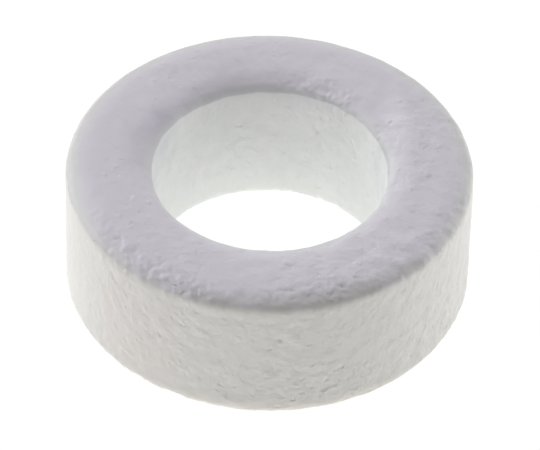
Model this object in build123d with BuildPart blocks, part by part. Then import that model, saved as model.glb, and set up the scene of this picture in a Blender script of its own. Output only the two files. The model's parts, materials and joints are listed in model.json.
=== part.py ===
# Ferrite ring core with a coating all over, lying flat.
# Millimetres, +Z up: the origin is the centre of the lower face, on the ring's axis.
import os
from math import cos, radians, sin

from build123d import *

# overall sizes of the coated ring
outer_diameter = 14.6
bore_diameter = 8.4
height = 5.6

# outside edge: a wide crowned shoulder that runs into a tight corner
outer_crown_radius = 2.1
outer_crown_slope = 22
outer_corner_radius = 0.45

# bore edge: the same form, a little tighter
bore_crown_radius = 1.9
bore_crown_slope = 22
bore_corner_radius = 0.4

# flat land that a thin ring keeps between its two edges, which get smaller to leave it
least_land_width = 0.3

outer_radius = outer_diameter / 2
bore_radius = bore_diameter / 2
half_height = height / 2


def edge_width(crown_radius, crown_slope, corner_radius):
    """Radial distance from the wall to the flat land of the end face."""
    slope_run = sin(radians(crown_slope))
    return crown_radius * slope_run + corner_radius * (1 - slope_run)


def edge_drop(crown_radius, crown_slope, corner_radius):
    """Height lost from the flat land to the top of the wall."""
    slope_rise = cos(radians(crown_slope))
    return crown_radius * (1 - slope_rise) + corner_radius * slope_rise


outer_edge_width = edge_width(outer_crown_radius, outer_crown_slope, outer_corner_radius)
bore_edge_width = edge_width(bore_crown_radius, bore_crown_slope, bore_corner_radius)

# 1 on this ring: below that the ring is too thin for its edges at full size
room_for_edges = outer_radius - bore_radius - least_land_width
edge_scale = min(1, room_for_edges / (outer_edge_width + bore_edge_width))

land_outer_radius = outer_radius - outer_edge_width * edge_scale
land_bore_radius = bore_radius + bore_edge_width * edge_scale

outer_wall_length = height - 2 * edge_scale * edge_drop(
    outer_crown_radius, outer_crown_slope, outer_corner_radius)
bore_wall_length = height - 2 * edge_scale * edge_drop(
    bore_crown_radius, bore_crown_slope, bore_corner_radius)

print(f"flat land from radius {land_bore_radius:.3f} to {land_outer_radius:.3f}")
print(f"straight walls: outer {outer_wall_length:.3f}, bore {bore_wall_length:.3f}")

# the section stands on the radius along +X, with its own zero at mid height
section_plane = Plane(origin=(0, 0, half_height), x_dir=(1, 0, 0), z_dir=(0, -1, 0))

with BuildPart() as toroid_core:
    with BuildSketch(section_plane):
        with BuildLine():
            # upper half, from the flat land out to each wall
            land = Line((land_bore_radius, half_height), (land_outer_radius, half_height))
            outer_crown = JernArc(
                start=land @ 1, tangent=(1, 0),
                radius=outer_crown_radius * edge_scale, arc_size=-outer_crown_slope)
            outer_corner = JernArc(
                start=outer_crown @ 1, tangent=outer_crown % 1,
                radius=outer_corner_radius * edge_scale, arc_size=outer_crown_slope - 90)
            Line(outer_corner @ 1, (outer_radius, 0))

            bore_crown = JernArc(
                start=land @ 0, tangent=(-1, 0),
                radius=bore_crown_radius * edge_scale, arc_size=bore_crown_slope)
            bore_corner = JernArc(
                start=bore_crown @ 1, tangent=bore_crown % 1,
                radius=bore_corner_radius * edge_scale, arc_size=90 - bore_crown_slope)
            Line(bore_corner @ 1, (bore_radius, 0))

            # the lower half is the same form turned over
            mirror(about=Plane.XZ)
        make_face()
    revolve(axis=Axis.Z)

toroid_core.part.label = "toroid_core"

os.makedirs("parts", exist_ok=True)
export_step(toroid_core.part, "parts/toroid_core.step")
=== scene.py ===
import json
from math import atan2, cos, degrees, hypot, pi, radians, sin, tau

import bmesh
import bpy
from mathutils import Matrix, Vector, noise


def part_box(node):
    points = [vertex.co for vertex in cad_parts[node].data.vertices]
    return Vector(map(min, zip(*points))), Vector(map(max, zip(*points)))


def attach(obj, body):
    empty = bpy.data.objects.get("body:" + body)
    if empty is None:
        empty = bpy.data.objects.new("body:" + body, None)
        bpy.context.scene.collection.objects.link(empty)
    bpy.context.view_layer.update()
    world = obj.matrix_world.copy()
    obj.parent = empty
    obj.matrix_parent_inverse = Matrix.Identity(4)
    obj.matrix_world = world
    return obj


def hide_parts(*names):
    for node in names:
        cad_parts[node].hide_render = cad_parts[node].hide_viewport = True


mm = 0.001

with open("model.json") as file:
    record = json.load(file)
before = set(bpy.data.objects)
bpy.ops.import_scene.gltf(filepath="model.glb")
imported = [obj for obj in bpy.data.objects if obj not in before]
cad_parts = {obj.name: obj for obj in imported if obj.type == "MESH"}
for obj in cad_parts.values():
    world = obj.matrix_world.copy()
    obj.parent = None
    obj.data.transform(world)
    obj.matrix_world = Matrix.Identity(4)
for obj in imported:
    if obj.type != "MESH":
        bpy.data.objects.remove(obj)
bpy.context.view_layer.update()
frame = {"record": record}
ringLow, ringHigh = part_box("toroid_core")
bore = next(mount for mount in frame["record"]["mounts"] if mount["name"] == "winding_bore")
boreRadius = bore["dims"]["r_mm"] * mm
outerRadius = min(-ringLow.x, -ringLow.y, ringHigh.x, ringHigh.y)
ringHeight = ringHigh.z - ringLow.z
ringSizes = [round(size / mm, 3) for size in (outerRadius, boreRadius, ringHeight)]
print("frame loaded, ring of radius, bore radius and height", ringSizes)


# a socket in a shader expression: the operators add Math nodes
class Wire:
    def __init__(self, shader, socket):
        self.shader = shader
        self.socket = socket

    def maths(self, operation, *values):
        return self.shader.add("ShaderNodeMath", {"operation": operation}, dict(enumerate(values)))

    def __add__(self, other):
        return self.maths("ADD", self, other)

    def __radd__(self, other):
        return self.maths("ADD", other, self)

    def __sub__(self, other):
        return self.maths("SUBTRACT", self, other)

    def __rsub__(self, other):
        return self.maths("SUBTRACT", other, self)

    def __mul__(self, other):
        return self.maths("MULTIPLY", self, other)


# the node tree of a material or the world
class Shader:
    def __init__(self, owner):
        owner.use_nodes = True
        self.tree = owner.node_tree
        self.tree.nodes.clear()

    def add(self, kind, settings=None, sockets=None, output=0):
        node = self.tree.nodes.new(kind)
        for name, value in (settings or {}).items():
            setattr(node, name, value)
        for name, value in (sockets or {}).items():
            if isinstance(value, Wire):
                self.tree.links.new(value.socket, node.inputs[name])
            else:
                node.inputs[name].default_value = value
        return Wire(self, node.outputs[output]) if node.outputs else None

    def ramp(self, value, low, high):  # 0 below low, 1 above high, smooth between
        return self.add("ShaderNodeMapRange", {"interpolation_type": "SMOOTHSTEP"},
                        {"Value": value, "From Min": low, "From Max": high})

    def noise(self, place, scale, detail, roughness=0.5, output=0):
        return self.add("ShaderNodeTexNoise", {}, {"Vector": place, "Scale": scale, "Detail": detail,
                                                   "Roughness": roughness}, output=output)

    def vector(self, operation, first, second, output=0):
        return self.add("ShaderNodeVectorMath", {"operation": operation}, {0: first, 1: second},
                        output=output)

    def length(self, vector):
        return self.add("ShaderNodeVectorMath", {"operation": "LENGTH"}, {0: vector}, output="Value")

    def scaled(self, vector, factor):
        return self.add("ShaderNodeVectorMath", {"operation": "SCALE"},
                        {"Vector": vector, "Scale": factor})

    def mixColour(self, share, first, second, blend="MIX"):
        return self.add("ShaderNodeMix", {"data_type": "RGBA", "blend_type": blend},
                        {0: share, 6: first, 7: second}, output=2)

    def seen(self):  # 1 for what the camera sees, straight, in a reflection or through glass
        path = {name: self.add("ShaderNodeLightPath", {}, {}, output=name)
                for name in ("Is Camera Ray", "Is Glossy Ray", "Is Transmission Ray")}
        return path["Is Camera Ray"] + path["Is Glossy Ray"] + path["Is Transmission Ray"]


def grey(level):
    return (level, level, level, 1)


# the coating's form, in the ring's own section: same edges as the CAD ring
ringForm = {
    "outerCrownRadius": 2.1 * mm,
    "outerCornerRadius": 0.45 * mm,
    "boreCrownRadius": 1.9 * mm,
    "boreCornerRadius": 0.4 * mm,
    "crownSlope": radians(22),
    "faceCell": 0.09 * mm,  # mesh spacing across the section
    "edgeCell": 0.062 * mm,
    "outerCell": 0.1 * mm,
    "boreCell": 0.13 * mm,
    "turnCells": 520,  # steps round the ring
    "weld": 0.001 * mm,
}


def runStraight(mesh, start, end, cell):  # extrudes the section's last point in even steps
    steps = max(1, round((end - start.co).length / cell))
    stride = (end - start.co) / steps
    for _ in range(steps):
        start = bmesh.ops.extrude_vert_indiv(mesh, verts=[start])["verts"][0]
        bmesh.ops.translate(mesh, verts=[start], vec=stride)
    return start


def runArc(mesh, start, centre, angle, cell):  # turns the section's last point about a centre
    steps = max(2, round(abs(angle) * (start.co - centre).length / cell))
    spun = bmesh.ops.spin(mesh, geom=[start], cent=centre, axis=(0, 1, 0), angle=angle, steps=steps)
    return spun["geom_last"][0]


def runEdge(mesh, start, wall, side, form, name):
    # from the land to the wall: the wide crown, then the tight corner
    cell = form["edgeCell"]
    crown, corner, slope = form[name + "CrownRadius"], form[name + "CornerRadius"], form["crownSlope"]
    toCrown = start.co - Vector((0, 0, crown))
    shoulder = runArc(mesh, start, toCrown, side * slope, cell)
    toCorner = toCrown + (shoulder.co - toCrown) * (1 - corner / crown)
    top = runArc(mesh, shoulder, toCorner, side * (radians(90) - slope), cell)
    top.co.x = wall
    return runStraight(mesh, top, Vector((wall, 0, 0)), form[name + "Cell"])


def edgeWidth(form, name):  # from the wall to the flat land
    run = sin(form["crownSlope"])
    return form[name + "CrownRadius"] * run + form[name + "CornerRadius"] * (1 - run)


def ringMesh(form):
    mesh = bmesh.new()
    landStart = Vector((boreRadius + edgeWidth(form, "bore"), 0, ringHeight / 2))
    landEnd = Vector((outerRadius - edgeWidth(form, "outer"), 0, ringHeight / 2))
    first = mesh.verts.new(landStart)
    last = runStraight(mesh, first, landEnd, form["faceCell"])
    runEdge(mesh, last, outerRadius, 1, form, "outer")
    runEdge(mesh, first, boreRadius, -1, form, "bore")
    section = mesh.verts[:] + mesh.edges[:]
    bmesh.ops.mirror(mesh, geom=section, axis="Z", merge_dist=form["weld"])
    section = mesh.verts[:] + mesh.edges[:]
    bmesh.ops.spin(mesh, geom=section, axis=(0, 0, 1), angle=tau, steps=form["turnCells"],
                   use_merge=True)
    bmesh.ops.translate(mesh, verts=mesh.verts[:], vec=(0, 0, ringLow.z + ringHeight / 2))
    bmesh.ops.remove_doubles(mesh, verts=mesh.verts[:], dist=form["weld"])
    bmesh.ops.recalc_face_normals(mesh, faces=mesh.faces[:])
    return mesh


# how the coating dried: dents, all inwards, as sizes and depths in mm
coatRelief = {
    "wave": {"size": 2.4, "depth": 0.022},
    "ripple": {"size": 0.62, "depth": 0.04},
    "grain": {"size": 0.27, "depth": 0.009},
}
dents = {"mean": 0.15, "swing": 0.5}  # of each depth: what is always there, and what the noise moves
crumble = {"size": 0.27, "depth": 0.075, "crack": 0.75}
# where the coat is roughest: to the front right, and more on the end faces than on the walls
liveliest = {
    "towards": Vector((0.7, -0.7, 0)),
    "mean": 0.74,
    "swing": 0.37,
    "faceShare": 1.57,
    "wallBegins": 0.35,  # mm in from an end face: the wall's roughness, and the face's own
    "faceEnds": 0.1,
}
# where an edge is crumbly: radius and width in mm, place round the ring and spread in degrees
crumbledEdges = {
    "frontLeft": {"radius": 6.8, "width": 0.75, "around": -36, "spread": 42, "share": 1.0},
    "front": {"radius": 6.75, "width": 0.7, "around": 12, "spread": 40, "share": 0.85},
    "right": {"radius": 6.95, "width": 0.55, "around": 66, "spread": 24, "share": 0.9},
    "backLip": {"radius": 4.55, "width": 0.65, "around": 157, "spread": 30, "share": 0.8},
    "everywhere": {"radius": 7.0, "width": 0.4, "around": 180, "spread": 360, "share": 0.15},
}


def hump(value, middle, spread):  # 1 in the middle, 0 past the spread, smooth between
    share = max(0.0, 1 - ((value - middle) / spread) ** 2)
    return share * share


def crumbleShare(point, form):
    radius = hypot(point.x, point.y)
    around = degrees(atan2(point.x, -point.y))
    share = 0.0
    for patch in form.values():
        turn = (around - patch["around"] + 180) % 360 - 180
        near = hump(radius, patch["radius"], patch["width"]) * hump(turn, 0, patch["spread"])
        share = max(share, patch["share"] * near)
    return share


def dent(point, relief, crumb, edges):
    out = Vector((point.x, point.y, 0)).normalized()
    lively = liveliest["mean"] + liveliest["swing"] * out.dot(liveliest["towards"])
    inset = min(point.z - ringLow.z / mm, ringHigh.z / mm - point.z)
    start, end = liveliest["wallBegins"], liveliest["faceEnds"]
    onFace = min(1.0, max(0.0, (start - inset) / (start - end)))
    lively *= 1 + (liveliest["faceShare"] - 1) * onFace
    depth = 0.0
    for layer in relief.values():
        depth += layer["depth"] * (dents["mean"] - dents["swing"] * noise.noise(point / layer["size"]))
    depth = lively * max(0.0, depth)
    share = crumbleShare(point, edges)
    if share > 0:  # round lumps of uneven size with cracks between them
        warp = noise.noise_vector(point / (2 * crumb["size"])) * crumb["size"]
        nearest = noise.voronoi((point + warp) / crumb["size"])[0][0]
        depth += share * crumb["depth"] * min(1.0, nearest / crumb["crack"]) ** 2
    return depth


def roughen(mesh, relief, crumb, edges):
    mesh.normal_update()
    normals = [vert.normal.copy() for vert in mesh.verts]
    for vert, normal in zip(mesh.verts, normals):
        vert.co -= normal * dent(vert.co / mm, relief, crumb, edges) * mm


noise.seed_set(1)  # without a seed noise_vector changes from run to run
mesh = ringMesh(ringForm)
roughen(mesh, coatRelief, crumble, crumbledEdges)
print("ring", len(mesh.verts), "vertices", len(mesh.faces), "faces")
coating = bpy.data.meshes.new("coated_ring")
mesh.to_mesh(coating)
mesh.free()
coating.shade_smooth()
ring = bpy.data.objects.new("coated_ring", coating)
bpy.context.scene.collection.objects.link(ring)

# the coating's colours: lilac grey on the end faces, plain grey where the lilac fades over their edges,
# and a warm white on the walls; the edge grey, the paler lip and the bore's paler white are partly
# painted light
coatColours = {
    "face": (0.570, 0.542, 0.599, 1),
    # rim and lip: partly painted light, a greyer and paler edge where the shoulders catch the light from
    # the sides and back
    "rim": (0.545, 0.545, 0.540, 1),
    "lip": (0.610, 0.604, 0.622, 1),
    "outerWall": (0.683, 0.671, 0.648, 1),
    # bore: paler than the outer wall, partly painted light that stands in for the light falling into the
    # bore
    "bore": (0.820, 0.828, 0.825, 1),
    "midway": (5.5, 6.0),  # radius in mm between the bore's colours and the outside's
    # the lilac's fade is partly painted light: it stays nearer the edge at the front, which gets little
    # light, and fades sooner on the lit shoulders
    "rimInset": (0.12, 0.8),  # mm from the outer wall: grey, then lilac
    "lipInset": (0.02, 0.42),  # the same from the bore
    "frontInset": 0.32,  # how much nearer the outer wall the lilac comes at the front
    "front": (-1, -6),  # mm in Y: where that begins, and where it is full
    "wallTop": (0.32, 0.48),  # mm below the upper face: where the outer wall's white begins
    "boreTop": (0.37, 0.48),
    "wallFoot": (0.04, 0.14),  # mm above the lower face
    # how far the borders stray in mm, and how much of that the wall's top, its foot and a patch take
    "wander": {"perMm": 1.1, "reach": 0.16, "top": 0.5, "foot": 0.3, "patch": 2},
    "tone": {"perMm": 0.5, "swing": 0.02},  # how the coating gets lighter and darker
    "patchEdge": (1.1, 0.3),  # shares of a patch's reach: where it begins, and where it is full
    "roughness": 0.6,
}
# painted light and shade, patch by patch, with one warmer patch on the wall: middle and reach in mm
paintedLightAndShade = {
    # left rim, the lips and the bore's back: painted light; the rim lines, front rim, back lip and the
    # bore's sides: painted shade
    "left rim": {"at": (-7.6, -4.0, 5.46), "reach": (2.4, 5.6, 0.3), "tint": (1.08, 1.085, 1.1)},
    "left rim line": {"at": (-5.0, -5.4, 5.12), "reach": (2.8, 2.6, 0.28), "tint": (0.935, 0.935, 0.93)},
    "front rim": {"at": (1.6, -7.0, 5.28), "reach": (6.5, 2.2, 0.3), "tint": (0.95, 0.95, 0.92)},
    "front rim line": {"at": (2.7, -6.6, 5.38), "reach": (7.6, 4.2, 0.17), "tint": (0.79, 0.79, 0.77)},
    "right lip": {"at": (4.4, 0.9, 5.62), "reach": (0.8, 3.5, 0.34), "tint": (1.195, 1.23, 1.19)},
    "front lip": {"at": (1.2, -3.6, 5.40), "reach": (5.0, 3.6, 0.26), "tint": (1.09, 1.13, 1.08)},
    "back lip": {"at": (-1.0, 2.9, 5.46), "reach": (3.5, 3.5, 0.28), "tint": (0.81, 0.805, 0.81)},
    "left lip": {"at": (-4.4, -0.3, 5.5), "reach": (0.6, 2.8, 0.16), "tint": (1.06, 1.065, 1.05)},
    "warm wall": {"at": (-4.6, -5.6, 2.6), "reach": (2.6, 2.2, 3.4), "tint": (1.01, 0.985, 0.99)},
    "bore left": {"at": (-4.2, 0.9, 4.9), "reach": (1.4, 2.8, 2.2), "tint": (0.875, 0.87, 0.885)},
    "bore left edge": {"at": (-3.7, 1.9, 5.1), "reach": (1.2, 2.2, 0.8), "tint": (0.96, 0.96, 0.97)},
    "bore back": {"at": (0.4, 4.2, 4.6), "reach": (3.4, 1.4, 1.5), "tint": (1.06, 1.055, 1.06)},
    "bore right": {"at": (4.3, 0.8, 4.4), "reach": (1.3, 2.2, 2.0), "tint": (0.88, 0.875, 0.89)},
    # bore foot: painted reflection of the table's light; front foot: painted light from the table below
    "bore foot": {"at": (0, 0, 0.2), "reach": (5.2, 5.2, 2.2), "tint": (1.03, 1.06, 0.98)},
    "front foot": {"at": (1.0, -7.3, 0.2), "reach": (8.0, 4.0, 0.7), "tint": (1.19, 1.17, 1.13)},
}
# its fine relief: features to a millimetre, depths in mm
coatSkin = {
    "patches": {"perMm": 0.4, "between": (0.35, 0.65), "least": 0.6, "most": 1.4},
    "wallShare": 0.98,  # how rough the outer wall and the bore are, where the end faces are 1
    "boreShare": 1.38,
    "smoothSide": {"towards": (-0.7, 0.7, 0), "from": -4.0, "to": 3.0, "share": 0.5},  # back left
    # stipple tone: how much of the grain's shade is painted into the colour
    "stipple": {"perMm": 2.2, "detail": 2.1, "roughness": 0.5, "depth": 0.09, "tone": 0.13},
    # dimples' dark: painted shade in the dents
    "dimples": {"perMm": 2.4, "rim": 0.34, "floor": 0.0, "kept": 0.5, "depth": 0.026, "dark": 0.018},
    "lumps": {"perMm": 2.0, "rim": 0.36, "floor": 0.0, "kept": 0.5, "depth": -0.028},
    "pinholes": {"perMm": 0.8, "rim": 0.05, "floor": 0.02, "kept": 0.25, "depth": 0.018, "dark": 0.05},
    "warp": {"perMm": 5.0, "reach": 0.2},  # how the outlines of dimples and lumps stray
}


def spots(shader, place, form):  # round marks, 1 at their middle, in some of the cells
    cells = {name: shader.add("ShaderNodeTexVoronoi", {"feature": "F1", "voronoi_dimensions": "3D"},
                              {"Vector": place, "Scale": form["perMm"]}, output=name)
             for name in ("Distance", "Color")}
    chance = shader.add("ShaderNodeSeparateColor", {}, {"Color": cells["Color"]}, output="Red")
    kept = chance.maths("LESS_THAN", chance, form["kept"])
    return shader.ramp(cells["Distance"], form["rim"], form["floor"]) * kept


def coatMaterial(colours, paintedPatches, skin):
    material = bpy.data.materials.new("ring coating")
    shader = Shader(material)
    place = shader.add("ShaderNodeTexCoord", {}, {}, output="Object")
    place = shader.scaled(place, 1 / mm)
    height = shader.add("ShaderNodeSeparateXYZ", {}, {"Vector": place}, output="Z")
    back = shader.add("ShaderNodeSeparateXYZ", {}, {"Vector": place}, output="Y")
    flat = shader.vector("MULTIPLY", place, (1, 1, 0))
    radius = shader.length(flat)

    # colour by place on the ring
    wander = colours["wander"]
    stray = (shader.noise(place, wander["perMm"], 3) - 0.5) * (2 * wander["reach"])
    outside = shader.ramp(radius, *colours["midway"])
    below = ringHigh.z / mm - height + stray * wander["top"]
    above = height - ringLow.z / mm + stray * wander["foot"]
    onOuter = outside * shader.ramp(below, *colours["wallTop"])
    onBore = (1 - outside) * shader.ramp(below, *colours["boreTop"])
    onWalls = (onOuter + onBore) * shader.ramp(above, *colours["wallFoot"])
    atFront = shader.ramp(back, *colours["front"])
    inset = outerRadius / mm - radius + stray + atFront * colours["frontInset"]
    lilac = shader.ramp(inset, *colours["rimInset"])
    lilac = lilac * shader.ramp(radius - boreRadius / mm + stray, *colours["lipInset"])
    walls = shader.mixColour(outside, colours["bore"], colours["outerWall"])
    faces = shader.mixColour(outside, colours["lip"], colours["rim"])
    faces = shader.mixColour(lilac, faces, colours["face"])
    colour = shader.mixColour(onWalls, faces, walls)
    # painted light and shade, one patch after another
    for patch in paintedPatches.values():
        offset = shader.vector("SUBTRACT", place, patch["at"])
        offset = shader.vector("DIVIDE", offset, patch["reach"])
        distance = shader.length(offset)
        share = shader.ramp(distance + stray * wander["patch"], *colours["patchEdge"])
        colour = shader.mixColour(share, colour, (*patch["tint"], 1), "MULTIPLY")

    # fine relief, rougher in some patches
    patches, smooth, warp = skin["patches"], skin["smoothSide"], skin["warp"]
    rough = shader.ramp(shader.noise(place, patches["perMm"], 2), *patches["between"])
    rough = rough * (patches["most"] - patches["least"]) + patches["least"]
    rough = rough * (1 + onBore * (skin["boreShare"] - 1) + onOuter * (skin["wallShare"] - 1))
    along = shader.vector("DOT_PRODUCT", place, smooth["towards"], output="Value")
    rough = rough * (1 - shader.ramp(along, smooth["from"], smooth["to"]) * (1 - smooth["share"]))
    shift = shader.noise(place, warp["perMm"], 1, output="Color")
    shift = shader.vector("SUBTRACT", shift, (0.5, 0.5, 0.5))
    warped = shader.vector("ADD", place, shader.scaled(shift, warp["reach"]))
    marks = {name: spots(shader, warped, skin[name]) for name in ("dimples", "lumps", "pinholes")}
    stipple = skin["stipple"]
    grain = shader.noise(place, stipple["perMm"], stipple["detail"], stipple["roughness"]) - 0.5
    relief = grain * stipple["depth"]
    for name in ("dimples", "lumps"):
        relief = relief - marks[name] * skin[name]["depth"]
    relief = relief * rough - marks["pinholes"] * skin["pinholes"]["depth"]
    bump = shader.add("ShaderNodeBump", {}, {"Height": relief, "Distance": mm, "Strength": 1.0})

    tone = 1 + (shader.noise(place, colours["tone"]["perMm"], 3) - 0.5) * (2 * colours["tone"]["swing"])
    # painted shade of the grain: lighter where it stands up, darker in its hollows
    tone = tone + grain * rough * stipple["tone"]
    # darker in the dimples, as painted shade in the dents, and darker in the pinholes
    for name in ("dimples", "pinholes"):
        tone = tone - marks[name] * skin[name]["dark"]
    colour = shader.scaled(colour, tone)
    surface = shader.add("ShaderNodeBsdfPrincipled", {},
                         {"Base Color": colour, "Roughness": colours["roughness"], "Normal": bump})
    shader.add("ShaderNodeOutputMaterial", {}, {"Surface": surface})
    return material


coating.materials.append(coatMaterial(coatColours, paintedLightAndShade, coatSkin))

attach(ring, "root")
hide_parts("toroid_core")


# the table: white to the camera, with a faint shadow under the ring
table = {
    "halfWidth": 1.0,
    "colour": (0.95, 0.945, 0.93, 1),
    "glow": 0.6,  # lit from below as well, like a light table
    "whiteShare": 0.94,  # how much of it is plain white to the camera: the rest shows the shadow
}


def makeTable(form):
    mesh = bmesh.new()
    bmesh.ops.create_grid(mesh, x_segments=1, y_segments=1, size=form["halfWidth"])
    plane = bpy.data.meshes.new("table")
    mesh.to_mesh(plane)
    mesh.free()
    floor = bpy.data.objects.new("table", plane)
    bpy.context.scene.collection.objects.link(floor)
    material = bpy.data.materials.new("white table")
    shader = Shader(material)
    paper = shader.add("ShaderNodeBsdfDiffuse", {}, {"Color": form["colour"]})
    glow = shader.add("ShaderNodeEmission", {}, {"Color": form["colour"], "Strength": form["glow"]})
    paper = shader.add("ShaderNodeAddShader", {}, {0: paper, 1: glow})
    white = shader.add("ShaderNodeEmission", {}, {"Color": grey(1), "Strength": 1})
    share = shader.seen() * form["whiteShare"]
    both = shader.add("ShaderNodeMixShader", {}, {0: share, 1: paper, 2: white})
    shader.add("ShaderNodeOutputMaterial", {}, {"Surface": both})
    plane.materials.append(material)


makeTable(table)
print("table made")


# soft boxes behind, at the sides and straight above, and little light from the camera's side
# level: how bright a white card is that faces the box, where 1 is white
lamps = {
    "left": {"around": -78, "above": 30, "level": 0.245},
    "back left": {"around": -128, "above": 25, "level": 0.62},
    "back right": {"around": 120, "above": 8, "level": 0.47},
    "right": {"around": 90, "above": 25, "level": 0.22},
    "top": {"around": 180, "above": 88, "level": 0.42},
}
softBox = {
    "distance": 0.6,
    "width": 0.45,
}
worldLevel = 0.0  # the air adds no light of its own


def direction(around, above):  # from the ring: around is 0 towards the camera, 90 to its right
    a, e = radians(around), radians(above)
    return Vector((sin(a) * cos(e), -cos(a) * cos(e), sin(e)))


ringCentre = (ringLow + ringHigh) / 2
for name, lamp in lamps.items():
    light = bpy.data.lights.new(name + " lamp", "AREA")
    light.shape = "DISK"
    light.size = softBox["width"]
    light.energy = lamp["level"] * (pi * softBox["distance"]) ** 2  # the power that gives that level
    box = bpy.data.objects.new(name + " lamp", light)
    away = direction(lamp["around"], lamp["above"])
    turn = away.to_track_quat("Z", "Y").to_matrix().to_4x4()
    box.matrix_world = Matrix.Translation(ringCentre + away * softBox["distance"]) @ turn
    box.visible_camera = False
    bpy.context.scene.collection.objects.link(box)

world = bpy.data.worlds.new("studio")
bpy.context.scene.world = world
shader = Shader(world)
air = shader.add("ShaderNodeBackground", {}, {"Color": grey(1), "Strength": worldLevel})
white = shader.add("ShaderNodeBackground", {}, {"Color": grey(1), "Strength": 1})
both = shader.add("ShaderNodeMixShader", {}, {0: shader.seen(), 1: air, 2: white})
shader.add("ShaderNodeOutputWorld", {}, {"Surface": both})
print("lamps and world made")


# the photograph's own view: a long lens, a little tilted, with angles in degrees
view = {
    "above": 43.25,
    "distance": 172.0 * mm,
    "lens": 318.2,
    "sensor": 36,
    "nearest": 10 * mm,
    "lookDown": 0.065,
    "lookRight": 0.02,
    "roll": 1.47,
}
lens = bpy.data.cameras.new("camera")
lens.lens = view["lens"]
lens.sensor_width = view["sensor"]
lens.clip_start = view["nearest"]
camera = bpy.data.objects.new("camera", lens)
camera.location = ringCentre + direction(0, view["above"]) * view["distance"]
camera.rotation_mode = "ZYX"
pitch = 90 - view["above"] - view["lookDown"]
camera.rotation_euler = (radians(pitch), radians(-view["lookRight"]), radians(view["roll"]))
bpy.context.scene.collection.objects.link(camera)
bpy.context.scene.camera = camera
bpy.context.scene.view_settings.view_transform = "Standard"
